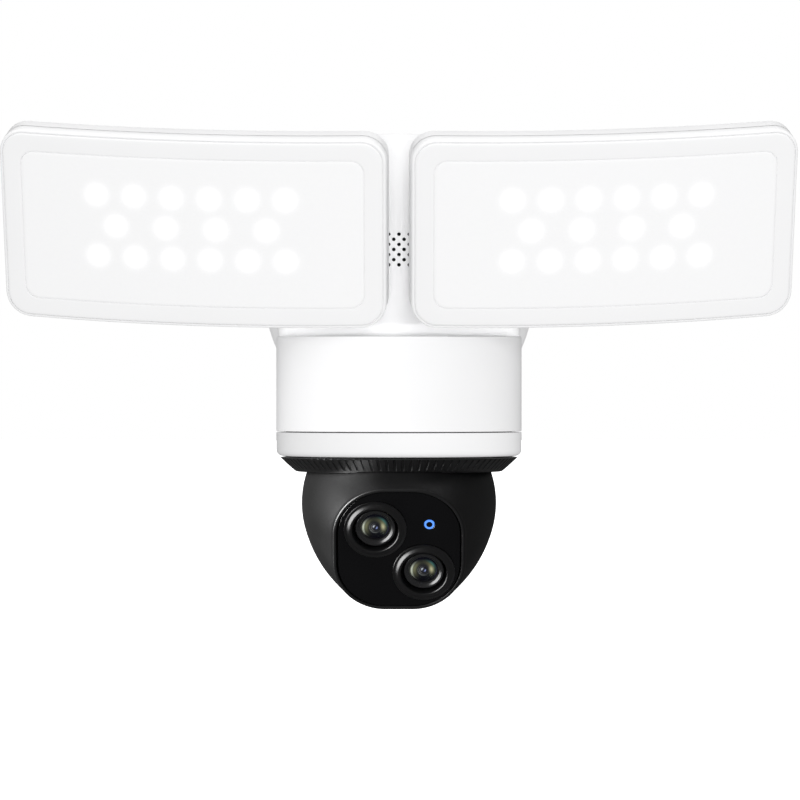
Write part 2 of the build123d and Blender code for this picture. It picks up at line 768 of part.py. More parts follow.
def head_screws():
    screws = []
    for u, v in head_screw_places():
        screws.append(head_place() * screw((u, v, 24.0), (0, 0, 1), 1.15, 10, 2.2, 1.2))
    return screws


def status_light():
    u, v = STATUS_LIGHT
    light = Pos(u, v, FACE_DIST - 6.0) * (Cylinder(2.1, 5.7, align=BASE) - Cylinder(1.25, 5.7, align=BASE))
    return head_place() * light


def tilt_pins():
    """Left pin is the tilt motor's shaft, right pin is a plain trunnion."""
    left = rod((-28.0, AXIS_Y, HEAD_Z), (1, 0, 0), 2.0, 17.5)
    right = rod((28.0, AXIS_Y, HEAD_Z), (-1, 0, 0), 2.0, 11.0)
    return [left, right]


# ---- light panels: the right-hand one, mirrored for the left ----
def panel_place():
    """Panel frame: origin at the centre of the front, +X across, +Y into the panel, +Z up it."""
    return Pos(*PANEL_CENTRE) * Rotation(PANEL_TILT, 0, 0) * Rotation(0, 0, PANEL_YAW)


def pivot_point():
    """Where the tilt and swivel axes of a light cross, behind the middle of the panel."""
    x, y, z = PANEL_CENTRE
    tilt = radians(PANEL_TILT)
    yaw = radians(PANEL_YAW)
    back = PIVOT_DEPTH * cos(yaw)
    return (x - PIVOT_DEPTH * sin(yaw), y + back * cos(tilt), z + back * sin(tilt))


def arm_place():
    """Arm frame: origin where the two light hinges cross, +Z along the swivel pin."""
    return Pos(*pivot_point()) * Rotation(PANEL_TILT, 0, 0)


def bent_slab(width, height, corner, front, back):
    """Rounded slab bent to the panel's curve, between two depths behind the front."""
    outline = Plane(origin=(0, -5, 0), x_dir=(1, 0, 0), z_dir=(0, 1, 0)) * RectangleRounded(
        width, height, corner)
    prism = extrude(outline, 50)
    far = Pos(0, PANEL_BEND_R, 0)
    shell = far * Cylinder(PANEL_BEND_R - front, 200) - far * Cylinder(PANEL_BEND_R - back, 200)
    return prism & shell & Pos(0, 20, 0) * Box(200, 60, 120)


def panel_cover():
    body = bent_slab(PANEL_W, PANEL_H, PANEL_CORNER, 0, COVER_DEPTH)
    rim = 2.2
    body -= bent_slab(PANEL_W - 2 * rim, PANEL_H - 2 * rim, PANEL_CORNER - rim, 2.4, COVER_DEPTH + 1)
    body -= bent_slab(PANEL_W - 2 * MARGIN, PANEL_H - 2 * MARGIN, WINDOW_CORNER, -1, 3)
    return body


def panel_window():
    wide = PANEL_W - 2 * MARGIN
    tall = PANEL_H - 2 * MARGIN
    play = WINDOW_PLAY
    flange_reach = 6.0
    face = bent_slab(wide - 2 * play, tall - 2 * play, WINDOW_CORNER - play, 0.2, 2.5)
    flange = bent_slab(wide + flange_reach, tall + flange_reach, 8, 2.5, 4.0)
    return face + flange


def panel_housing():
    outer = bent_slab(PANEL_W, PANEL_H, PANEL_CORNER, COVER_DEPTH + 0.3, PANEL_DEPTH)
    back = outer.faces().filter_by(GeomType.CYLINDER).sort_by(Axis.Y)[-1]
    outer = fillet(back.edges(), BACK_FILLET)
    wide = PANEL_W - 2 * WALL
    tall = PANEL_H - 2 * WALL
    inner = bent_slab(wide, tall, PANEL_CORNER - WALL, COVER_DEPTH - 1, PANEL_DEPTH - 2.4)
    body = outer - inner
    post_r, post_l = 3.2, 6.6
    for x, z in board_posts():
        post = Rotation(-90, 0, 0) * Cylinder(post_r, post_l, align=BASE)
        body += Pos(x, LED_BOARD_FACE + BOARD_T, z) * post
    for side in (-1, 1):
        low = min(side * LUG_GAP, side * (LUG_GAP + LUG_T))
        lug = Pos(0, PIVOT_DEPTH, low) * Cylinder(LUG_R, LUG_T, align=BASE)
        lug += block(-LUG_R, LUG_R, PANEL_DEPTH - 1.5, PIVOT_DEPTH, low, low + LUG_T)
        body += lug
    body -= Pos(0, PIVOT_DEPTH, 0) * Cylinder(SWIVEL_PIN_R, 60)
    return body


def board_posts():
    return [(sx * 50.0, sz * 22.0) for sx in (-1, 1) for sz in (-1, 1)]


def led_board():
    half_w, half_h = 66, 28
    return block(-half_w, half_w, LED_BOARD_FACE, LED_BOARD_FACE + BOARD_T, -half_h, half_h)


def led_places():
    middle = 2.0
    places = []
    for row, count in ((-1, 6), (0, 4), (1, 6)):
        pitch = LED_PITCH if count == 6 else LED_PITCH * 4 / 3
        for index in range(count):
            places.append(((index - (count - 1) / 2) * pitch, middle + row * LED_ROW_PITCH))
    return places


def leds():
    half, lens_r = 2.5, 2.1
    front = LED_BOARD_FACE - 0.7
    chips = []
    for x, z in led_places():
        base = block(x - half, x + half, front, LED_BOARD_FACE, z - half, z + half)
        lens = Pos(x, front, z) * Sphere(lens_r) & block(x - 3, x + 3, 5, front, z - 3, z + 3)
        chips.append(base + lens)
    return chips


def swivel_pin():
    """Headed pin through the panel's lugs and the arm."""
    reach = LUG_GAP + LUG_T
    head_r, head_t = 5.0, 2.0
    clip_r, clip_t = 4.6, 1.2
    pin = Pos(0, PIVOT_DEPTH, -reach) * Cylinder(SWIVEL_PIN_R, 2 * reach, align=BASE)
    head = Pos(0, PIVOT_DEPTH, reach) * Cylinder(head_r, head_t, align=BASE)
    clip = Pos(0, PIVOT_DEPTH, -reach - clip_t) * Cylinder(clip_r, clip_t, align=BASE)
    return pin + head + clip


def light_arm():
    """Block on the swivel pin with a round stem that meets the bracket's eye."""
    stem_r, collar_r, collar_t = 7.0, 8.4, 4.0
    barrel = Cylinder(LUG_R, 2 * LUG_GAP - 0.6)
    stem_end = BRACKET_OUTER_X + 0.3 - pivot_point()[0]
    stem = rod((0, 0, 0), (-1, 0, 0), stem_r, -stem_end)
    collar = rod((stem_end + collar_t, 0, 0), (-1, 0, 0), collar_r, collar_t)
    body = barrel + stem + collar
    body -= Cylinder(SWIVEL_PIN_R + RUNNING, 40)
    body -= rod((stem_end - 1, 0, 0), (1, 0, 0), TILT_THREAD_R, 11)
    return body


def tilt_bolt():
    """Shoulder bolt from the arm's stem through the bracket's eye, with its nut on the inner side."""
    _, y_pivot, z_pivot = pivot_point()
    step = BRACKET_OUTER_X + 0.25
    nut_r, nut_t = 7.0, 3.0
    thread = rod((step + 9.95, y_pivot, z_pivot), (-1, 0, 0), TILT_THREAD_R, 10)
    shoulder = rod((step, y_pivot, z_pivot), (-1, 0, 0), TILT_BOLT_R, 8.6)
    end = rod((BRACKET_INNER_X - 0.3, y_pivot, z_pivot), (-1, 0, 0), nut_r, nut_t)
    return thread + shoulder + end


def both_sides(name, solids):
    """Export the right-hand piece and its mirror image."""
    export(f"right_{name}", *solids)
    export(f"left_{name}", *[mirror(solid, about=Plane.YZ) for solid in solids])


# ---- write every piece ----
FIXED = {
    "mounting_bracket": mounting_bracket,
    "canopy_gasket": canopy_gasket,
    "canopy_studs": canopy_studs,
    "cap_nuts": cap_nuts,
    "canopy_shell": canopy_shell,
    "wire_grommet": wire_grommet,
    "neck_screws": neck_screws,
    "rear_housing": rear_housing,
    "housing_gasket": housing_gasket,
    "front_cover": front_cover,
    "cover_screws": cover_screws,
    "speaker": speaker,
    "power_board": power_board,
    "power_parts": power_parts,
    "main_board": main_board,
    "lower_shell": lower_shell,
    "trim_ring": trim_ring,
    "drive_chassis": drive_chassis,
    "chassis_screws": chassis_screws,
    "pan_motor": pan_motor,
    "pan_bearing": pan_bearing,
    "pan_retainer": pan_retainer,
    "light_bracket_screws": light_bracket_screws,
    "sync_button": sync_button,
    "pan_pinion": pan_pinion,
    "turntable": turntable,
    "yoke": yoke,
    "yoke_screws": yoke_screws,
    "ribbed_ring": ribbed_ring,
    "tilt_motor": tilt_motor,
    "head_shell": head_shell,
    "head_frame": head_frame,
    "face_plate": face_plate,
    "lens_bezels": lens_bezels,
    "lens_barrels": lens_barrels,
    "lens_glasses": lens_glasses,
    "sensor_boards": sensor_boards,
    "status_light": status_light,
    "tilt_pins": tilt_pins,
    "head_screws": head_screws,
}
for node, build in FIXED.items():
    made = build()
    export(node, *(made if isinstance(made, list) else [made]))

PANEL_PIECES = {
    "panel_cover": panel_cover,
    "panel_window": panel_window,
    "panel_housing": panel_housing,
    "led_board": led_board,
    "leds": leds,
    "swivel_pin": swivel_pin,
}
for name, build in PANEL_PIECES.items():
    made = build()
    made = made if isinstance(made, list) else [made]
    both_sides(name, [panel_place() * solid for solid in made])

both_sides("light_bracket", [light_bracket()])
both_sides("light_arm", [arm_place() * light_arm()])
both_sides("tilt_bolt", [tilt_bolt()])
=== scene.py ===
import json
from math import asin, atan2, cos, degrees, exp, hypot, pi, radians, sin, sqrt, tan

import bmesh
import bpy
from mathutils import Matrix, Vector


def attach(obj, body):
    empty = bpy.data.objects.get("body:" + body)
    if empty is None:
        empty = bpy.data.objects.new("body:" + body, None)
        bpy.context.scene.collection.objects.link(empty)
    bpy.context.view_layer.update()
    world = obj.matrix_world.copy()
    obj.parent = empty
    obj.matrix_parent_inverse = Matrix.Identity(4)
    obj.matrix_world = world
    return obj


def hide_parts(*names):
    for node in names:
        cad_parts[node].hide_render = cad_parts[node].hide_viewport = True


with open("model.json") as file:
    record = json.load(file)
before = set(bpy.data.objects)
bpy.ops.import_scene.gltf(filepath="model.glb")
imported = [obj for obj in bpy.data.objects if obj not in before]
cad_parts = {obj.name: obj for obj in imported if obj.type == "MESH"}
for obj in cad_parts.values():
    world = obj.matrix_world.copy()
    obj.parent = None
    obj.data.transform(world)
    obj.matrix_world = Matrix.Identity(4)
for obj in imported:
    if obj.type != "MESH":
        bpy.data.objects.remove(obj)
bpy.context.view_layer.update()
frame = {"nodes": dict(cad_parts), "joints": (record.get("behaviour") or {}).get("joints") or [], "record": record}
MM = 0.001

# ---- driving dimensions, matching the frame's parts: in metres where a comment doesn't say millimetres ----
JOINTS = {joint["name"]: joint for joint in frame["joints"]}
HEAD = Vector(JOINTS["head_tilt"]["pos_m"])
AXIS_Y = HEAD.y
HEAD_TILT = radians(26.0)
HEAD_R = 40.15 * MM
FACE_DIST = 41.3 * MM
FACE_HALF_U = 26.0 * MM
FACE_HALF_V = 27.3 * MM
FACE_CORNER = 20.4 * MM
NOSE_START = 6.1 * MM
SIDE_FALL = -25.6 * MM
TOP_FALL = -10.2 * MM
DIAGONAL_FALL = -13.6 * MM

# places on the face, across and up, in millimetres
LENSES = (("wide", -9.5, 9.25), ("tele", 10.0, -10.3))
STATUS_LIGHT = (12.2, 11.4)

# the ball's slot for the yoke: angles from upright towards the back, half its width, and its least height
SLOT_MIDDLE = radians(29)
SLOT_HALF_SPAN = radians(37.5)
SLOT_HALF_W = 24 * MM
SLOT_FLOOR = 14 * MM

# the drum and the ring, in millimetres
DRUM_R = 50.6
DRUM_WALL = 2.5
SHELF_FRONT_Z = -21.0
SHELF_SLOPE = radians(1.08)
SEAM_Z = -59.2
DRUM_BOTTOM = -69.4
TRIM_SEAM = 0.4
TRIM_INNER_R = 47.3
TRIM_CORNER_R = 2.6
RIB_TOP = -69.8
RIB_BOTTOM = -75.8
RIB_COLLAR_TOP = -66.0
RIBS = 90
RIB_RELIEF = 0.42

# the light panels, in metres
PANEL_TILT = radians(22.0)
PANEL_YAW = radians(5.7)
PANEL_W = 153.5 * MM
PANEL_H = 78.5 * MM
PANEL_CORNER = 10.0 * MM
PANEL_BEND_R = 491.0 * MM
PANEL_DEPTH = 17.0 * MM
PIVOT_DEPTH = 30.0 * MM
MARGIN = 8.5 * MM
WINDOW_CORNER = 5.5 * MM
LED_PITCHES = {6: 15.0 * MM, 4: 20.0 * MM}
LED_ROW_PITCH = 12.7 * MM
LED_MIDDLE = 2.0 * MM
GLOW_R = 4.2 * MM
LUG_R = 8.0 * MM
LUG_HALF_GAP = 9.0 * MM
LUG_T = 5.0 * MM
SHARP_ANGLE = radians(38)
SIDES = (("left", -1), ("right", 1))


# ---- materials ----
def new_material(name):
    material = bpy.data.materials.new(name)
    material.use_nodes = True
    nodes = material.node_tree.nodes
    shader = nodes["Principled BSDF"]
    return material, nodes, material.node_tree.links, shader


def noise_node(nodes, links, scale, detail=3.0):
    """Noise in the object's own coordinates, so that its grain has a real size."""
    place = nodes.new("ShaderNodeTexCoord")
    noise = nodes.new("ShaderNodeTexNoise")
    noise.inputs["Scale"].default_value = scale
    noise.inputs["Detail"].default_value = detail
    links.new(place.outputs["Object"], noise.inputs["Vector"])
    return noise


def ranged(nodes, links, source, low, high):
    """Turns a 0 to 1 value into a span."""
    span = nodes.new("ShaderNodeMapRange")
    span.inputs["To Min"].default_value = low
    span.inputs["To Max"].default_value = high
    links.new(source, span.inputs["Value"])
    return span.outputs["Result"]


def mixed_colour(nodes, links, factor, dark, light):
    mix = nodes.new("ShaderNodeMix")
    mix.data_type = "RGBA"
    mix.inputs["A"].default_value = (*dark, 1)
    mix.inputs["B"].default_value = (*light, 1)
    links.new(factor, mix.inputs["Factor"])
    return mix.outputs["Result"]


def add_bump(nodes, links, shader, height, strength, distance):
    bump = nodes.new("ShaderNodeBump")
    bump.inputs["Strength"].default_value = strength
    bump.inputs["Distance"].default_value = distance
    links.new(height, bump.inputs["Height"])
    links.new(bump.outputs["Normal"], shader.inputs["Normal"])


def moulded(name, colour, rough, grain=900.0, bump=0.06, spread=0.03, specular=0.5):
    """Moulded plastic: faint mottling, uneven gloss and a fine spark-eroded grain."""
    material, nodes, links, shader = new_material(name)
    mottle = noise_node(nodes, links, 45.0)
    dark = [channel * (1 - spread) for channel in colour]
    light = [min(1.0, channel * (1 + spread)) for channel in colour]
    blotches = mottle.outputs["Fac"]
    links.new(mixed_colour(nodes, links, blotches, dark, light), shader.inputs["Base Color"])
    links.new(ranged(nodes, links, blotches, rough * 0.9, rough * 1.1), shader.inputs["Roughness"])
    shader.inputs["Specular IOR Level"].default_value = specular
    fine = noise_node(nodes, links, grain, 2.0)
    add_bump(nodes, links, shader, fine.outputs["Fac"], bump, 0.0002)
    return material


def metal(name, colour, rough, grain=400.0):
    """Metal with a stretched brushing grain."""
    material, nodes, links, shader = new_material(name)
    place = nodes.new("ShaderNodeTexCoord")
    stretch = nodes.new("ShaderNodeMapping")
    stretch.inputs["Scale"].default_value = (1.0, 1.0, 8.0)
    brush = nodes.new("ShaderNodeTexNoise")
    brush.inputs["Scale"].default_value = grain
    links.new(place.outputs["Object"], stretch.inputs["Vector"])
    links.new(stretch.outputs["Vector"], brush.inputs["Vector"])
    dark = [channel * 0.86 for channel in colour]
    lines = brush.outputs["Fac"]
    links.new(mixed_colour(nodes, links, lines, dark, colour), shader.inputs["Base Color"])
    links.new(ranged(nodes, links, lines, rough * 0.8, rough * 1.25), shader.inputs["Roughness"])
    shader.inputs["Metallic"].default_value = 1.0
    add_bump(nodes, links, shader, lines, 0.08, 0.0001)
    return material


def circuit_board(name):
    """Green solder mask with a faint pattern of tracks."""
    material, nodes, links, shader = new_material(name)
    place = nodes.new("ShaderNodeTexCoord")
    tracks = nodes.new("ShaderNodeTexVoronoi")
    tracks.distance = "MANHATTAN"
    tracks.inputs["Scale"].default_value = 260.0
    links.new(place.outputs["Object"], tracks.inputs["Vector"])
    green = mixed_colour(nodes, links, tracks.outputs["Distance"], (0.01, 0.10, 0.05), (0.03, 0.20, 0.10))
    links.new(green, shader.inputs["Base Color"])
    shader.inputs["Roughness"].default_value = 0.35
    add_bump(nodes, links, shader, tracks.outputs["Distance"], 0.1, 0.0001)
    return material


def diffuser(name):
    """Milky window: the glow attribute is 1 over each lit LED and fades round it."""
    material, nodes, links, shader = new_material(name)
    glow = nodes.new("ShaderNodeAttribute")
    glow.attribute_name = "glow"
    mottle = noise_node(nodes, links, 600.0)
    base = mixed_colour(nodes, links, mottle.outputs["Fac"], (0.93, 0.93, 0.935), (0.95, 0.95, 0.955))
    links.new(base, shader.inputs["Base Color"])
    shader.inputs["Roughness"].default_value = 0.28
    shader.inputs["Emission Color"].default_value = (1.0, 0.995, 0.985, 1)
    links.new(ranged(nodes, links, glow.outputs["Fac"], 0.0, 0.25), shader.inputs["Emission Strength"])
    add_bump(nodes, links, shader, mottle.outputs["Fac"], 0.03, 0.0001)
    return material


def glowing(name, colour, strength):
    """Lit light guide, a little brighter in patches."""
    material, nodes, links, shader = new_material(name)
    patch = noise_node(nodes, links, 700.0)
    shader.inputs["Base Color"].default_value = (*[channel * 0.5 for channel in colour], 1)
    lit = mixed_colour(nodes, links, patch.outputs["Fac"], [c * 0.9 for c in colour], colour)
    links.new(lit, shader.inputs["Emission Color"])
    shader.inputs["Emission Strength"].default_value = strength
    shader.inputs["Roughness"].default_value = 0.3
    return material


def lens_glint_paint(name):
    """Inner elements with painted reflections: the tint attribute holds the painted glints and patches at each
    point, and the same colour glows a little.
    """
    material, nodes, links, shader = new_material(name)
    tint = nodes.new("ShaderNodeAttribute")
    tint.attribute_name = "tint"
    smear = noise_node(nodes, links, 500.0)
    uneven = nodes.new("ShaderNodeMix")
    uneven.data_type = "RGBA"
    uneven.blend_type = "MULTIPLY"
    uneven.inputs["Factor"].default_value = 1.0
    links.new(tint.outputs["Color"], uneven.inputs["A"])
    grey = mixed_colour(nodes, links, smear.outputs["Fac"], (0.8, 0.8, 0.8), (1, 1, 1))
    links.new(grey, uneven.inputs["B"])
    links.new(uneven.outputs["Result"], shader.inputs["Base Color"])
    links.new(uneven.outputs["Result"], shader.inputs["Emission Color"])
    # painted glow: the painted reflections also give off light
    shader.inputs["Emission Strength"].default_value = 0.55
    shader.inputs["Roughness"].default_value = 0.2
    return material


def clear_glass(name):
    """Thin front glass: clear face on, with a pale green reflection that grows at its slopes."""
    material, nodes, links, shader = new_material(name)
    facing = nodes.new("ShaderNodeFresnel")
    facing.inputs["IOR"].default_value = 1.75
    clear = nodes.new("ShaderNodeBsdfTransparent")
    clear.inputs["Color"].default_value = (0.86, 0.90, 0.88, 1)
    shine = nodes.new("ShaderNodeBsdfGlossy")
    smear = noise_node(nodes, links, 300.0)
    tint = mixed_colour(nodes, links, smear.outputs["Fac"], (0.72, 0.95, 0.72), (0.9, 1.0, 0.82))
    links.new(tint, shine.inputs["Color"])
    shine.inputs["Roughness"].default_value = 0.12
    mix = nodes.new("ShaderNodeMixShader")
    links.new(facing.outputs["Fac"], mix.inputs["Fac"])
    links.new(clear.outputs["BSDF"], mix.inputs[1])
    links.new(shine.outputs["BSDF"], mix.inputs[2])
    links.new(mix.outputs["Shader"], nodes["Material Output"].inputs["Surface"])
    nodes.remove(shader)
    return material


MATERIALS = {
    "white_plastic": moulded("white_plastic", (0.86, 0.86, 0.865), 0.42),
    "gloss_white": moulded("gloss_white", (0.90, 0.90, 0.905), 0.32,
                           bump=0.015, spread=0.012, specular=0.25),
    "panel_white": moulded("panel_white", (0.91, 0.91, 0.915), 0.35, bump=0.03, spread=0.012),
    "diffuser": diffuser("diffuser"),
    "black_satin": moulded("black_satin", (0.0045, 0.0045, 0.005), 0.42,
                           bump=0.04, spread=0.15, specular=0.55),
    "black_gloss": moulded("black_gloss", (0.003, 0.003, 0.0035), 0.2,
                           bump=0.01, spread=0.2, specular=0.4),
    "black_ribbed": moulded("black_ribbed", (0.010, 0.010, 0.0105), 0.36,
                            bump=0.03, spread=0.2, specular=0.8),
    "black_plastic": moulded("black_plastic", (0.02, 0.02, 0.021), 0.4, bump=0.1, spread=0.15),
    "lens_glass": clear_glass("lens_glass"),
    "lens_glint_paint": lens_glint_paint("lens_glint_paint"),
    "bezel_finish": moulded("bezel_finish", (0.006, 0.006, 0.0065), 0.3,
                            bump=0.02, spread=0.15, specular=0.8),
    "barrel_finish": moulded("barrel_finish", (0.015, 0.015, 0.016), 0.28,
                             bump=0.02, spread=0.15, specular=0.8),
    "zinc_steel": metal("zinc_steel", (0.66, 0.67, 0.68), 0.3),
    "motor_steel": metal("motor_steel", (0.5, 0.5, 0.52), 0.35),
    "bearing_bronze": metal("bearing_bronze", (0.55, 0.38, 0.18), 0.4),
    "rubber": moulded("rubber", (0.03, 0.03, 0.032), 0.8, bump=0.2, spread=0.15, specular=0.3),
    "circuit_board": circuit_board("circuit_board"),
    "led_board_aluminium": moulded("led_board_aluminium", (0.85, 0.85, 0.85), 0.5),
    "led_lit": glowing("led_lit", (1.0, 0.98, 0.94), 2.0),
    "status_blue": glowing("status_blue", (0.10, 0.30, 1.0), 1.0),
    "button_grey": moulded("button_grey", (0.5, 0.51, 0.52), 0.6, bump=0.15),
    "gear_plastic": moulded("gear_plastic", (0.75, 0.74, 0.68), 0.45),
}


NODE_SLOTS = {part["node"]: part["material_slot"] for part in frame["record"]["subparts"]}


def dress_cad_nodes():
    """Every carried-over node takes its record slot's material."""
    for name, node in frame["nodes"].items():
        node.data.materials.clear()
        node.data.materials.append(MATERIALS[NODE_SLOTS[name]])


# ---- mesh helpers ----
def make_piece(name, verts, faces, slot_name, body, replaced=(), look=None):
    """A smooth-shaded piece that rides on a body and stands for the nodes it replaces."""
    mesh = bpy.data.meshes.new(name)
    mesh.from_pydata(verts, [], faces)
    work = bmesh.new()
    work.from_mesh(mesh)
    bmesh.ops.remove_doubles(work, verts=work.verts, dist=1e-6)
    bmesh.ops.recalc_face_normals(work, faces=work.faces)
    work.to_mesh(mesh)
    work.free()
    mesh.materials.append(MATERIALS[look or slot_name])
    return add_piece(mesh, body, replaced)


def add_piece(mesh, body, replaced=(), angle=SHARP_ANGLE):
    """Puts a finished mesh in the scene under its own name, body and nodes."""
    piece = bpy.data.objects.new(mesh.name, mesh)
    bpy.context.scene.collection.objects.link(piece)
    smooth_by_angle(piece, angle)
    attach(piece, body)
    if replaced:
        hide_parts(*replaced)
    return piece


def smooth_by_angle(piece, angle):
    """Smooth shading, with sharp edges where two faces meet at more than the angle."""
    work = bmesh.new()
    work.from_mesh(piece.data)
    for face in work.faces:
        face.smooth = True
    for edge in work.edges:
        if len(edge.link_faces) == 2:
            edge.smooth = edge.calc_face_angle(0) < angle
    work.to_mesh(piece.data)
    work.free()


def bridge(count, first, second):
    """Quads between two closed rings of points that start at the given indices."""
    faces = []
    for index in range(count):
        following = (index + 1) % count
        faces.append((first + index, first + following, second + following, second + index))
    return faces


def loft(rings, cap_start=False, cap_end=False, closed_loop=False):
    """Vertices and faces of a skin through rings of equally many points."""
    count = len(rings[0])
    verts = [point for ring in rings for point in ring]
    faces = []
    for index in range(len(rings) - 1):
        faces += bridge(count, index * count, (index + 1) * count)
    if closed_loop:
        faces += bridge(count, (len(rings) - 1) * count, 0)
    if cap_start:
        faces.append(tuple(range(count)))
    if cap_end:
        faces.append(tuple(range((len(rings) - 1) * count, len(rings) * count)))
    return verts, faces


def lathe(place, profile, segments=96, closed_loop=False):
    """Skin turned about a frame's own Z through (radius, height) points."""
    rings = []
    for radius, height in profile:
        ring = []
        for index in range(segments):
            angle = 2 * pi * index / segments
            ring.append(place @ Vector((radius * cos(angle), radius * sin(angle), height)))
        rings.append(ring)
    return loft(rings, closed_loop=closed_loop)


def arc(centre_r, centre_h, radius, start, end):
    """Profile points of a round stretch, with angles in degrees from the radius axis."""
    steps = 10
    points = []
    for step in range(steps + 1):
        angle = radians(start + (end - start) * step / steps)
        points.append((centre_r + radius * cos(angle), centre_h + radius * sin(angle)))
    return points


def rounded_outline(half_w, half_h, corner, along=40, up=20, per_corner=10):
    """Points round a rounded rectangle, the same number in the same order for any size."""
    corner = max(corner, 1e-5)
    points = []
    reach_w, reach_h = half_w - corner, half_h - corner
    centres = ((reach_w, reach_h), (-reach_w, reach_h), (-reach_w, -reach_h), (reach_w, -reach_h))
    for index, (cx, cz) in enumerate(centres):
        start = 90 * index
        for step in range(per_corner + 1):
            angle = radians(start + 90 * step / per_corner)
            points.append((cx + corner * cos(angle), cz + corner * sin(angle)))
        following = centres[(index + 1) % 4]
        end_angle = radians(start + 90)
        next_x = following[0] + corner * cos(end_angle)
        next_z = following[1] + corner * sin(end_angle)
        here_x, here_z = points[-1]
        steps = along if index % 2 == 0 else up
        for step in range(1, steps):
            share = step / steps
            points.append((here_x + (next_x - here_x) * share, here_z + (next_z - here_z) * share))
    return points


def both_ways(verts, faces, side):
    """Mirrors a right-hand mesh for the left side."""
    if side > 0:
        return verts, faces
    return [Vector((-v.x, v.y, v.z)) for v in verts], [tuple(reversed(face)) for face in faces]


# ---- light panels ----
def panel_place():
    """Right panel's frame: origin at the middle of its front, +Y into it, +Z up it."""
    turn = Matrix.Rotation(PANEL_TILT, 4, "X") @ Matrix.Rotation(PANEL_YAW, 4, "Z")
    pivot = Vector(JOINTS["right_light_swivel"]["pos_m"])
    return Matrix.Translation(pivot) @ turn @ Matrix.Translation((0, -PIVOT_DEPTH, 0))


def bent(x, depth, z):
    """A point of the panel after its bend about an upright axis behind it."""
    radius = PANEL_BEND_R - depth
    return Vector((x, PANEL_BEND_R - sqrt(radius * radius - x * x), z))


def panel_ring(inset, depth):
    """Points round the panel at an inset from its edge and a depth behind its front."""
    corner = PANEL_CORNER - inset
    if inset > MARGIN / 2:
        corner = WINDOW_CORNER + MARGIN - inset
    outline = rounded_outline(PANEL_W / 2 - inset, PANEL_H / 2 - inset, corner)
    place = panel_place()
    return [place @ bent(x, depth, z) for x, z in outline]


def edge_distance(x, z, half_w, half_h, corner):
    """Distance inwards from the edge of a rounded rectangle."""
    qx = abs(x) - (half_w - corner)
    qz = abs(z) - (half_h - corner)
    outside = hypot(max(qx, 0), max(qz, 0)) + min(max(qx, qz), 0)
    return corner - outside


def fine_ends(count, edge_count, edge_share):
    """Values from -1 to 1, closer together near both ends."""
    values = []
    for index in range(edge_count):
        share = index / edge_count
        values.append(-1 + edge_share * (1 - cos(share * pi / 2)))
    inner = 1 - edge_share
    for index in range(count + 1):
        values.append(-inner + 2 * inner * index / count)
    return values + [-value for value in reversed(values[:edge_count])]


def bent_sheet(half_w, half_h, corner, depth_at, wall_depth):
    """Rounded sheet bent with the panel: depth_at gives its depth from the distance to its edge."""
    rows = fine_ends(56, 10, corner / half_h)
    columns = fine_ends(110, 8, 0.08)
    place = panel_place()
    verts, flat = [], []
    for row in rows:
        z = row * half_h
        overshoot = max(0.0, abs(z) - (half_h - corner))
        reach = half_w - corner + sqrt(max(corner * corner - overshoot * overshoot, 0.0))
        for column in columns:
            x = column * reach
            distance = max(0.0, edge_distance(x, z, half_w, half_h, corner))
            verts.append(place @ bent(x, depth_at(distance), z))
            flat.append((x, z))
    wide = len(columns)
    faces = []
    for row in range(len(rows) - 1):
        for column in range(wide - 1):
            corner_index = row * wide + column
            faces.append((corner_index, corner_index + 1, corner_index + wide + 1, corner_index + wide))
    border = list(range(wide))
    border += [row * wide + wide - 1 for row in range(1, len(rows))]
    border += [(len(rows) - 1) * wide + column for column in range(wide - 2, -1, -1)]
    border += [row * wide for row in range(len(rows) - 2, 0, -1)]
    start = len(verts)
    for index in border:
        x, z = flat[index]
        verts.append(place @ bent(x, wall_depth, z))
    for step in range(len(border)):
        following = (step + 1) % len(border)
        faces.append((border[step], border[following], start + following, start + step))
    return verts, faces, flat


def led_places():
    """LED places in the panel's own plane: rows of six, four and six."""
    places = []
    for row, count in ((-1, 6), (0, 4), (1, 6)):
        pitch = LED_PITCHES[count]
        for index in range(count):
            places.append(((index - (count - 1) / 2) * pitch, LED_MIDDLE + row * LED_ROW_PITCH))
    return places


def panel_cover(side_name, side):
    """Frame round the window, as insets from the panel's outline and depths, in millimetres."""
    outer = ((8.7, 2.6), (8.6, 0.5), (8.52, 0.2), (8.3, 0.04), (7.8, 0.0), (4.5, 0.0), (2.6, 0.0),
             (2.0, 0.05), (1.65, 0.16), (1.42, 0.34), (1.32, 0.55), (1.27, 0.85), (1.1, 0.88), (1.03, 0.62),
             (0.92, 0.54), (0.72, 0.54), (0.4, 0.68), (0.15, 0.96), (0.0, 1.5), (0.0, 4.2), (0.0, 6.2),
             (0.06, 6.36), (0.2, 6.42), (2.2, 6.42), (2.2, 2.6))
    rings = [panel_ring(inset * MM, depth * MM) for inset, depth in outer]
    verts, faces = both_ways(*loft(rings, closed_loop=True), side)
    make_piece(f"{side_name}_light_frame", verts, faces, "panel_white", f"{side_name}_panel",
               [f"{side_name}_panel_cover"])


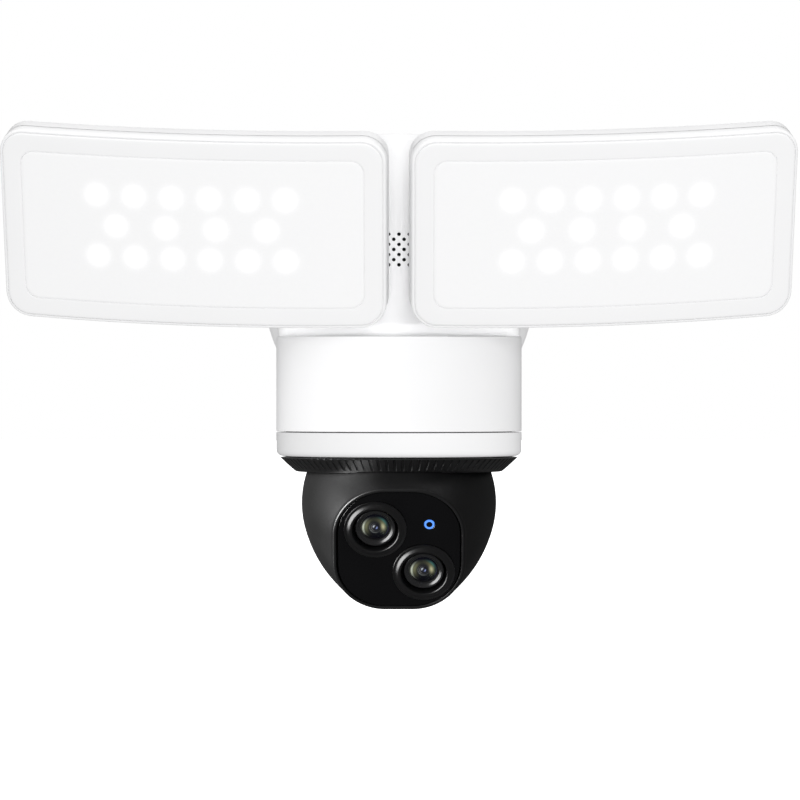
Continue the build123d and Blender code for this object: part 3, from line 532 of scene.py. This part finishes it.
def panel_window(side_name, side):
    """Milky window, a little proud of the frame and rounded off at its edge."""
    play = 0.05 * MM
    half_w = PANEL_W / 2 - MARGIN - play
    half_h = PANEL_H / 2 - MARGIN - play
    leds = led_places()

    def depth_at(distance):
        proud, fall, edge_w = 0.12, 0.42, 0.9 * MM
        edge = max(0.0, 1 - distance / edge_w)
        return (fall * edge * edge - proud) * MM

    verts, faces, flat = bent_sheet(half_w, half_h, WINDOW_CORNER, depth_at, 2.5 * MM)
    verts, faces = both_ways(verts, faces, side)
    mesh = bpy.data.meshes.new(f"{side_name}_light_window")
    mesh.from_pydata(verts, [], faces)
    glow = mesh.attributes.new("glow", "FLOAT", "POINT")
    for index, (x, z) in enumerate(flat):
        level = sum(exp(-(((x - u) ** 2 + (z - v) ** 2) / GLOW_R ** 2) ** 1.4) for u, v in leds)
        glow.data[index].value = min(1.0, level)
    mesh.materials.append(MATERIALS["diffuser"])
    add_piece(mesh, f"{side_name}_panel", [f"{side_name}_panel_window"])


def panel_back(side_name, side):
    """Rear shell of a light, with the two lugs of its swivel hinge."""
    def depth_at(distance):
        """Round shoulder at the edge, then a shallow dome."""
        shoulder, dome_rise, dome_reach = 3.6 * MM, 1.6 * MM, 30 * MM
        round_off = shoulder - sqrt(max(0.0, shoulder ** 2 - max(0.0, shoulder - distance) ** 2))
        dome = dome_rise * max(0.0, 1 - distance / dome_reach) ** 2
        return PANEL_DEPTH - round_off - dome

    half_w, half_h = PANEL_W / 2, PANEL_H / 2
    verts, faces, _ = bent_sheet(half_w, half_h, PANEL_CORNER, depth_at, 6.5 * MM)
    verts, faces = both_ways(verts, faces, side)
    make_piece(f"{side_name}_light_back", verts, faces, "white_plastic", f"{side_name}_panel",
               [f"{side_name}_panel_housing"])
    place = panel_place()
    for tag, low in (("lower", -LUG_HALF_GAP - LUG_T), ("upper", LUG_HALF_GAP)):
        verts, faces = both_ways(*lug(place, low), side)
        make_piece(f"{side_name}_{tag}_lug", verts, faces, "white_plastic", f"{side_name}_panel")


def lug(place, low):
    """Rounded lug that stands on the panel's back and carries the swivel pin."""
    root, edge, flare, flare_h = 15.2 * MM, 0.7 * MM, 3.0 * MM, 6 * MM
    half_turn = 32
    shares = (0.0, 0.1, 0.3, 0.6, 1.0)
    rings = []
    for inset, height in ((edge, 0), (edge * 0.3, edge * 0.3), (0, edge),
                          (0, LUG_T - edge), (edge * 0.3, LUG_T - edge * 0.3), (edge, LUG_T)):
        radius = LUG_R - inset
        outline = []
        for step in range(half_turn + 1):
            angle = pi * step / half_turn
            outline.append((radius * cos(angle), PIVOT_DEPTH + radius * sin(angle)))
        for share in reversed(shares):
            outline.append((-radius - flare * (1 - share) ** 2, root + flare_h * share))
        for share in shares:
            outline.append((radius + flare * (1 - share) ** 2, root + flare_h * share))
        rings.append([place @ Vector((x, y, low + height)) for x, y in outline])
    return loft(rings, cap_start=True, cap_end=True)


# ---- head ----
def head_place():
    """Head's frame: origin at the ball's centre, +Z out of the face, +X right, +Y up the face."""
    forward = Vector((0, -cos(HEAD_TILT), -sin(HEAD_TILT)))
    right = Vector((1, 0, 0))
    up = forward.cross(right)
    turn = Matrix((right, up, forward)).transposed().to_4x4()
    return Matrix.Translation(HEAD) @ turn


def hermite(share, start, end, slope_start, slope_end):
    """Smooth value between two ends that leaves and arrives at set slopes."""
    s2, s3 = share * share, share ** 3
    return (start * (2 * s3 - 3 * s2 + 1) + slope_start * (s3 - 2 * s2 + share)
            + end * (3 * s2 - 2 * s3) + slope_end * (s3 - s2))


def nose_section(height):
    """Half width, half height and corner radius of the nose at a height towards the face."""
    start_r = sqrt(HEAD_R ** 2 - NOSE_START ** 2)
    length = FACE_DIST - NOSE_START
    share = (height - NOSE_START) / length
    diagonal_end = ((FACE_HALF_U + FACE_HALF_V) / 2 - FACE_CORNER) * sqrt(2) + FACE_CORNER
    fall = -NOSE_START / start_r * length
    half_u = hermite(share, start_r, FACE_HALF_U, fall, SIDE_FALL)
    half_v = hermite(share, start_r, FACE_HALF_V, fall, TOP_FALL)
    diagonal = hermite(share, start_r, diagonal_end, fall, DIAGONAL_FALL)
    corner = ((half_u + half_v) / 2 * sqrt(2) - diagonal) / (sqrt(2) - 1)
    return half_u, half_v, corner


def head_ring(place, half_u, half_v, corner, height):
    corner = min(corner, half_u - 1e-6, half_v - 1e-6)
    outline = rounded_outline(half_u, half_v, corner, along=12, up=12, per_corner=24)
    return [place @ Vector((x, z, height)) for x, z in outline]


def head_shell():
    """Ball, nose and rolled rim round the face as one skin, open at the face and at the slot."""
    place = head_place()
    rings = []
    pole_steps, nose_steps = 44, 30
    last_angle = 90 + degrees(asin(NOSE_START / HEAD_R))
    for step in range(1, pole_steps + 1):
        angle = radians(180 - step * last_angle / pole_steps)
        radius = HEAD_R * sin(angle)
        rings.append(head_ring(place, radius, radius, radius, HEAD_R * cos(angle)))
    rim_start = FACE_DIST - 1.0 * MM
    for step in range(1, nose_steps + 1):
        height = NOSE_START + (rim_start - NOSE_START) * step / nose_steps
        rings.append(head_ring(place, *nose_section(height), height))
    half_u, half_v, corner = nose_section(rim_start)
    for inset, rise in ((0.03, 0.35), (0.12, 0.62), (0.30, 0.85), (0.55, 0.97), (0.85, 1.0), (1.1, 0.99),
                        (1.36, 0.93), (1.46, 0.80), (1.49, 0.5), (1.49, -2.2)):
        drawn_in = inset * MM
        rings.append(head_ring(place, half_u - drawn_in, half_v - drawn_in, corner - drawn_in,
                               rim_start + rise * MM))
    verts, faces = loft(rings, cap_start=True)
    shell = make_piece("ball_shell", verts, faces, "black_satin", "head", ["head_shell"])
    cut_slot(shell)


def cut_slot(shell):
    """Opening for the yoke at the top of the ball, which the ribbed ring and the drum hide."""
    towards = Vector((sin(SLOT_MIDDLE), cos(SLOT_MIDDLE)))
    work = bmesh.new()
    work.from_mesh(shell.data)
    doomed = []
    for face in work.faces:
        middle = face.calc_center_median() - HEAD
        angle = abs(Vector((middle.y, middle.z)).angle_signed(towards))
        if abs(middle.x) < SLOT_HALF_W and angle < SLOT_HALF_SPAN and middle.z > SLOT_FLOOR:
            doomed.append(face)
    bmesh.ops.delete(work, geom=doomed, context="FACES")
    work.to_mesh(shell.data)
    work.free()


def lens_place(u, v):
    return head_place() @ Matrix.Translation((u * MM, v * MM, 0))


def in_mm(points):
    return [(radius * MM, height * MM) for radius, height in points]


def lens(tag, u, v, replaced):
    """Bezel, barrel, inner elements with painted reflections and front glass of one lens."""
    place = lens_place(u, v)
    bezel = [(12.6, 40.95), (12.6, 41.25), (12.48, 41.42), (12.25, 41.42), (12.0, 41.33), (11.8, 41.28),
             (11.6, 41.28), (11.4, 41.36), (11.1, 41.52), (10.5, 42.02), (10.2, 42.18), (9.9, 42.25),
             (9.6, 42.22), (9.4, 42.08), (9.28, 41.8), (9.24, 41.4), (9.22, 40.0), (9.2, 37.6),
             (11.0, 37.6), (11.0, 40.95)]
    verts, faces = lathe(place, in_mm(bezel), closed_loop=True)
    make_piece(f"{tag}_bezel", verts, faces, "black_gloss", "head", replaced["bezel"],
               look="bezel_finish")
    barrel = [(8.0, 30.0), (8.0, 39.7), (7.92, 39.95), (7.75, 40.08), (7.45, 40.1), (7.2, 40.05),
              (7.05, 39.9), (6.5, 39.3), (6.35, 39.2), (6.2, 39.2), (6.0, 39.15), (5.85, 38.95),
              (5.8, 38.6), (5.8, 36.2), (5.2, 36.0), (5.1, 30.0)]
    verts, faces = lathe(place, in_mm(barrel), closed_loop=True)
    make_piece(f"{tag}_barrel", verts, faces, "black_plastic", "head", replaced["barrel"],
               look="barrel_finish")
    inner_elements(tag, place)
    dome_r, top, half, dome_steps = 7.0, 40.35, 5.75, 12
    dome = []
    for step in range(dome_steps + 1):
        radius = max(0.02, half * (1 - step / dome_steps))
        dome.append((radius, top - dome_r + sqrt(dome_r ** 2 - radius ** 2)))
    verts, faces = lathe(place, in_mm(dome))
    make_piece(f"{tag}_front_glass", verts, faces, "lens_glass", "head", replaced["glass"])


def inner_elements(tag, place):
    """Elements behind the front glass, as one stepped bowl with painted reflections and glints on it."""
    bowl_r, floor, rise, ridge = 5.65, 36.95, 0.65, 0.1
    ridge_radii = (2.35, 2.2, 1.65, 1.5)
    radii = (bowl_r, 5.5, 5.35, 5.2, 5.0, 4.8, 4.6, 4.4, 4.2, 4.0, 3.7, 3.4, 3.1, 2.8, 2.5, 2.35, 2.2,
             2.05, 1.8, 1.65, 1.5, 1.35, 1.15, 1.0, 0.85, 0.7, 0.5, 0.25, 0.02)
    bowl = [(r, floor + rise * (r / bowl_r) ** 2 + (ridge if r in ridge_radii else 0.0)) for r in radii]
    segments = 96
    verts, faces = lathe(place, in_mm(bowl), segments=segments)
    mesh = bpy.data.meshes.new(f"{tag}_inner_glass")
    mesh.from_pydata(verts, [], faces)
    # tint holds the painted reflections and glints, point by point
    tint = mesh.attributes.new("tint", "FLOAT_COLOR", "POINT")
    # the painted reflections' middle sits this far below the lens's axis, in millimetres
    lowered = 1.05
    for index, (radius, _) in enumerate(bowl):
        for step in range(segments):
            turn = 2 * pi * step / segments
            across, up = radius * cos(turn), radius * sin(turn) + lowered
            colour = painted_lens_glints(hypot(across, up), atan2(up, across))
            tint.data[index * segments + step].color = (*colour, 1.0)
    mesh.materials.append(MATERIALS["lens_glint_paint"])
    add_piece(mesh, "head", angle=radians(60))


def blob(radius, angle, at_radius, at_angle, spread_r, spread_angle):
    """Soft patch in polar places: angle is in radians, at_angle and spread_angle in degrees."""
    turn = (angle - radians(at_angle) + pi) % (2 * pi) - pi
    return exp(-((radius - at_radius) / spread_r) ** 2 - (turn / radians(spread_angle)) ** 2)


def painted_lens_glints(radius, angle):
    """Painted reflections on the inner elements: a pale crescent on one side, cream, green and teal patches on the
    other, and small painted glints near the middle.
    """
    # each patch is a painted reflection or glint: its colour and where it lies
    patches = (
        ((1.20, 1.22, 1.05), blob(radius, angle, 4.9, 176, 0.38, 30)),
        ((0.26, 0.25, 0.14), blob(radius, angle, 3.8, 172, 0.8, 38)),
        ((0.66, 0.60, 0.38), blob(radius, angle, 3.2, 4, 0.75, 24)),
        ((0.12, 0.11, 0.05), blob(radius, angle, 3.6, 30, 1.0, 40)),
        ((0.02, 0.02, 0.01), blob(radius, angle, 3.4, 90, 1.0, 60)),
        ((0.02, 0.14, 0.14), blob(radius, angle, 4.6, 38, 0.5, 26)),
        ((0.04, 0.03, 0.08), blob(radius, angle, 5.2, 330, 0.25, 50)),
        ((0.26, 0.26, 0.26), blob(radius, angle, 2.3, 230, 0.16, 70)),
        ((0.22, 0.20, 0.20), blob(radius, angle, 1.6, 200, 0.14, 80)),
        ((0.75, 0.75, 0.85), blob(radius, angle, 0.75, 150, 0.28, 40)),
        ((0.35, 0.4, 0.8), blob(radius, angle, 0.7, 330, 0.25, 40)),
    )
    base = (0.006, 0.005, 0.012)
    return [base[channel] + sum(colour[channel] * share for colour, share in patches)
            for channel in range(3)]


def lenses():
    """Both lenses; the first one's pieces stand for the nodes that hold the pair."""
    first = {"bezel": ["lens_bezels"], "barrel": ["lens_barrels"], "glass": ["lens_glasses"]}
    later = {"bezel": [], "barrel": [], "glass": []}
    for index, (tag, u, v) in enumerate(LENSES):
        lens(tag, u, v, later if index else first)


def status_light():
    """Lit ring with a dark centre, as radii and heights above the ball's centre, in millimetres."""
    place = lens_place(*STATUS_LIGHT)
    ring = [(2.0, 38.0), (2.0, 40.8), (1.9, 40.96), (1.65, 41.02), (1.38, 40.96), (1.28, 40.8),
            (1.28, 38.0)]
    verts, faces = lathe(place, in_mm(ring), segments=48, closed_loop=True)
    make_piece("status_ring", verts, faces, "status_blue", "head", ["status_light"])
    plug = [(1.27, 38.0), (1.27, 40.7), (1.1, 40.9), (0.6, 41.0), (0.02, 41.0)]
    verts, faces = lathe(place, in_mm(plug), segments=48)
    make_piece("status_centre", verts, faces, "black_gloss", "head")


# ---- drum and ribbed ring ----
def shelf_height(y):
    """Height of the drum's sloped top at a distance from the wall."""
    return SHELF_FRONT_Z * MM + (y - AXIS_Y + DRUM_R * MM) * tan(SHELF_SLOPE)


def drum():
    """Glossy drum: its wall, a rounded edge and the sloped shelf in to the column."""
    count = 180
    inner_front, inner_reach = 14.0, 45.6
    profile = [(0.25, None, SEAM_Z), (0.0, None, SEAM_Z + 0.25), (0.0, None, SEAM_Z + 4)]
    profile += [(0.0, 4.0, None), (0.0, 0.8, None), (0.08, 0.45, None), (0.24, 0.22, None),
                (0.5, 0.06, None), (0.8, 0.0, None)]
    rings = []
    for inset, below, height in profile:
        rings.append([drum_point(count, index, DRUM_R - inset, below, height) for index in range(count)])
    inner, under = [], []
    for index in range(count):
        towards_front = max(0.0, -sin(2 * pi * index / count))
        reach = inner_reach
        if towards_front > 0.01:
            reach = min(reach, inner_front / towards_front)
        inner.append(drum_point(count, index, reach, 0.0, None))
        under.append(drum_point(count, index, reach, DRUM_WALL, None))
    rings += [inner, under]
    inside_r = DRUM_R - DRUM_WALL
    rings.append([drum_point(count, index, inside_r, DRUM_WALL, None) for index in range(count)])
    rings.append([drum_point(count, index, inside_r, None, SEAM_Z) for index in range(count)])
    verts, faces = loft(rings, closed_loop=True)
    make_piece("drum_wall", verts, faces, "gloss_white", "body", ["lower_shell"])


def drum_point(count, index, radius, below_shelf, height):
    """Point at a fixed height, or at a depth below the sloped top when no height is given."""
    angle = 2 * pi * index / count
    x = radius * MM * cos(angle)
    y = AXIS_Y + radius * MM * sin(angle)
    z = height * MM if height is not None else shelf_height(y) - below_shelf * MM
    return Vector((x, y, z))


def trim_ring():
    """White band under the drum's seam, rounded at its foot."""
    top = SEAM_Z - TRIM_SEAM
    outer = [(TRIM_INNER_R, top), (DRUM_R - 0.3, top), (DRUM_R - 0.08, top - 0.08), (DRUM_R, top - 0.3)]
    outer += arc(DRUM_R - TRIM_CORNER_R, DRUM_BOTTOM + TRIM_CORNER_R, TRIM_CORNER_R, 0, -90)
    outer += [(TRIM_INNER_R, DRUM_BOTTOM)]
    place = Matrix.Translation((0, AXIS_Y, 0))
    verts, faces = lathe(place, in_mm(outer), segments=180, closed_loop=True)
    make_piece("trim_band", verts, faces, "gloss_white", "body", ["trim_ring"])


def ribbed_ring():
    """Conical ring with upright ribs, which turns with the head."""
    steps = (0.0, 0.12, 0.2, 0.5, 0.8, 0.88)
    heights = (0.0, 0.0, 1.0, 1.0, 1.0, 0.0)
    profile = [(44.3, RIB_COLLAR_TOP, 0), (44.3, RIB_TOP - 0.01, 0), (48.2, RIB_TOP - 0.01, 0),
               (48.6, RIB_TOP - 0.05, 0), (48.8, RIB_TOP - 0.25, 0), (48.7, RIB_TOP - 0.5, 0),
               (48.3, RIB_TOP - 0.8, 1), (46.4, -72.4, 1), (44.4, -74.2, 1), (43.7, -74.8, 0),
               (43.2, -75.2, 0), (42.6, RIB_BOTTOM + 0.15, 0), (42.1, RIB_BOTTOM, 0),
               (41.6, RIB_BOTTOM, 0), (42.8, -71.4, 0), (42.8, RIB_COLLAR_TOP, 0)]
    rings = []
    for radius, height, ribbed in profile:
        ring = []
        for rib in range(RIBS):
            for step, up in zip(steps, heights):
                angle = 2 * pi * (rib + step) / RIBS
                drawn_in = RIB_RELIEF * (1 - up) * ribbed * 0.7
                r = (radius - drawn_in) * MM
                lifted = (height + drawn_in) * MM
                point = Vector((r * cos(angle), AXIS_Y + r * sin(angle), lifted))
                ring.append(clear_of_head(point))
        rings.append(ring)
    verts, faces = loft(rings, closed_loop=True)
    make_piece("rib_ring", verts, faces, "black_ribbed", "turret", ["ribbed_ring"])


def clear_of_head(point):
    """Lifts a point of the ring out of the nose's way."""
    clearance, lift, most_lifts, ring_top = 0.35 * MM, 0.15 * MM, 12, -70 * MM
    inverse = head_place().inverted()
    for _ in range(most_lifts):
        local = inverse @ point
        if not NOSE_START < local.z < FACE_DIST or point.z > ring_top:
            return point
        half_u, half_v, corner = nose_section(local.z)
        if edge_distance(local.x, local.y, half_u, half_v, corner) < -clearance:
            return point
        point = point + Vector((0, 0, lift))
    return point


# ---- rounded copies of frame parts ----
def rounded_copy(node, width, piece_name, body):
    """The node's own shape with its sharp edges rounded over."""
    bevelled_above, smooth_below = radians(30), radians(50)
    mesh = frame["nodes"][node].data.copy()
    mesh.name = piece_name
    work = bmesh.new()
    work.from_mesh(mesh)
    bmesh.ops.remove_doubles(work, verts=work.verts, dist=2e-6)
    bmesh.ops.dissolve_limit(work, angle_limit=radians(1.0), verts=work.verts, edges=work.edges)
    sharp = [edge for edge in work.edges
             if len(edge.link_faces) == 2 and edge.calc_face_angle(0) > bevelled_above]
    bmesh.ops.bevel(work, geom=sharp, offset=width, segments=2, profile=0.5, affect="EDGES",
                    clamp_overlap=True)
    for face in work.faces:
        face.smooth = True
    for edge in work.edges:
        if len(edge.link_faces) == 2:
            edge.smooth = edge.calc_face_angle(0) < smooth_below
    work.to_mesh(mesh)
    work.free()
    mesh.materials.clear()
    mesh.materials.append(MATERIALS[NODE_SLOTS[node]])
    piece = bpy.data.objects.new(piece_name, mesh)
    bpy.context.scene.collection.objects.link(piece)
    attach(piece, body)
    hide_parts(node)


# ---- scene ----
CAMERA_PLACE = (0.00043, -1.5063, -0.0464)
CAMERA_LENS = 153.0
SENSOR_W = 36.0
LIGHT_AIM = (0, -0.1, -0.03)
FOOT_AIM = (0, -0.12, -0.02)


def stage_and_camera():
    """Plain pale floor below the part, and a level camera in front of it."""
    floor_mesh = bpy.data.meshes.new("floor")
    reach, drop = 30.0, -0.42
    floor_mesh.from_pydata(
        [(-reach, -reach, drop), (reach, -reach, drop), (reach, reach, drop), (-reach, reach, drop)],
        [], [(0, 1, 2, 3)])
    floor = bpy.data.objects.new("floor", floor_mesh)
    bpy.context.scene.collection.objects.link(floor)
    material, _, _, shader = new_material("floor_white")
    shader.inputs["Base Color"].default_value = (0.95, 0.95, 0.95, 1)
    shader.inputs["Roughness"].default_value = 0.9
    shader.inputs["Emission Color"].default_value = (1, 1, 1, 1)
    shader.inputs["Emission Strength"].default_value = 1.0
    floor_mesh.materials.append(material)
    floor.visible_glossy = False
    floor.visible_diffuse = False

    camera_data = bpy.data.cameras.new("camera")
    camera_data.sensor_width = SENSOR_W
    camera_data.lens = CAMERA_LENS
    camera_data.clip_end = 100.0
    camera = bpy.data.objects.new("camera", camera_data)
    camera.location = CAMERA_PLACE
    camera.rotation_euler = (radians(90), 0, 0)
    bpy.context.scene.collection.objects.link(camera)
    bpy.context.scene.camera = camera


def area_light(name, place, target, size, power):
    """White rectangular light, aimed at a target; sizes in metres, power in watts."""
    data = bpy.data.lights.new(name, "AREA")
    data.shape = "RECTANGLE"
    data.size, data.size_y = size
    data.energy = power
    light = bpy.data.objects.new(name, data)
    light.location = place
    light.rotation_euler = (Vector(target) - Vector(place)).to_track_quat("-Z", "Y").to_euler()
    bpy.context.scene.collection.objects.link(light)
    return light


def lights():
    """Bright white surroundings for the camera, a dimmer room for reflections, and soft boxes."""
    seen_strength, glossy_strength, fill_strength = 1.0, 0.08, 0.80
    world = bpy.data.worlds.new("studio")
    bpy.context.scene.world = world
    world.use_nodes = True
    nodes, links = world.node_tree.nodes, world.node_tree.links
    ray = nodes.new("ShaderNodeLightPath")
    seen = nodes.new("ShaderNodeBackground")
    seen.inputs["Color"].default_value = (1, 1, 1, 1)
    seen.inputs["Strength"].default_value = seen_strength
    glossy = nodes.new("ShaderNodeBackground")
    glossy.inputs["Strength"].default_value = glossy_strength
    fill = nodes.new("ShaderNodeBackground")
    fill.inputs["Color"].default_value = (1, 1, 1, 1)
    fill.inputs["Strength"].default_value = fill_strength
    inner = nodes.new("ShaderNodeMixShader")
    links.new(ray.outputs["Is Glossy Ray"], inner.inputs["Fac"])
    links.new(fill.outputs["Background"], inner.inputs[1])
    links.new(glossy.outputs["Background"], inner.inputs[2])
    outer = nodes.new("ShaderNodeMixShader")
    links.new(ray.outputs["Is Camera Ray"], outer.inputs["Fac"])
    links.new(inner.outputs["Shader"], outer.inputs[1])
    links.new(seen.outputs["Background"], outer.inputs[2])
    links.new(outer.outputs["Shader"], nodes["World Output"].inputs["Surface"])
    seen_by(area_light("front", (0.25, -2.2, 0.35), LIGHT_AIM, (0.5, 0.9), 12.6), glossy=False)
    seen_by(area_light("top", (0, -0.4, 2.0), LIGHT_AIM, (1.2, 1.2), 5.0), glossy=False)
    side = area_light("side", (-1.7, -0.75, 0.15), LIGHT_AIM, (0.9, 1.2), 7.0)
    seen_by(side, glossy=False)
    only_for(side, ("drum_wall",))
    panel_top = area_light("panel_top", (0, -0.6, 2.0), LIGHT_AIM, (1.2, 0.8), 7.0)
    seen_by(panel_top, glossy=False)
    only_for(panel_top, [f"{tag}_light_{part}" for tag, _ in SIDES for part in ("frame", "back")])
    soft_box = area_light("soft_box", (-2.0, -1.0, -0.1), LIGHT_AIM, (1.5, 2.0), 370.0)
    seen_by(soft_box, diffuse=False)
    only_for(soft_box, ("ball_shell", "face_glass"))
    lens_box = area_light("lens_box", (-2.0, -1.0, 0.0), LIGHT_AIM, (2.4, 2.6), 190.0)
    seen_by(lens_box, diffuse=False)
    lens_pieces = [f"{tag}_{part}" for tag, _, _ in LENSES for part in ("bezel", "barrel")]
    only_for(lens_box, lens_pieces + ["rib_ring"])
    column = ("front_cover_rounded", "rear_housing_rounded")
    column_fill = area_light("column_fill", (0, -2.0, -0.2), LIGHT_AIM, (0.3, 0.5), 11.0)
    seen_by(column_fill, glossy=False)
    only_for(column_fill, column)
    for side_name, side in SIDES:
        under_panel = (0.35 * side, -0.6, -0.05)
        foot = area_light(f"{side_name}_foot", under_panel, FOOT_AIM, (0.1, 0.02), 0.7)
        seen_by(foot, glossy=False)
        only_for(foot, column)


def only_for(light, names):
    """Restricts a light to some pieces."""
    receivers = bpy.data.collections.new(f"{light.name}_receivers")
    for name in names:
        receivers.objects.link(bpy.data.objects[name])
    light.light_linking.receiver_collection = receivers


def seen_by(light, diffuse=True, glossy=True):
    """Whether the light adds to matt shading, and whether it shows in reflections."""
    light.visible_diffuse = diffuse
    light.visible_glossy = glossy


dress_cad_nodes()
for side_name, side in SIDES:
    panel_cover(side_name, side)
    panel_window(side_name, side)
    panel_back(side_name, side)
    rounded_copy(f"{side_name}_light_bracket", 0.6 * MM, f"{side_name}_bracket", "body")
    rounded_copy(f"{side_name}_light_arm", 0.5 * MM, f"{side_name}_knuckle", f"{side_name}_arm")
for node, width in (("canopy_shell", 0.4), ("rear_housing", 0.4), ("front_cover", 0.3)):
    rounded_copy(node, width * MM, f"{node}_rounded", "body")
rounded_copy("face_plate", 0.15 * MM, "face_glass", "head")
drum()
trim_ring()
ribbed_ring()
head_shell()
lenses()
status_light()
stage_and_camera()
lights()
bpy.context.scene.view_settings.view_transform = "Standard"
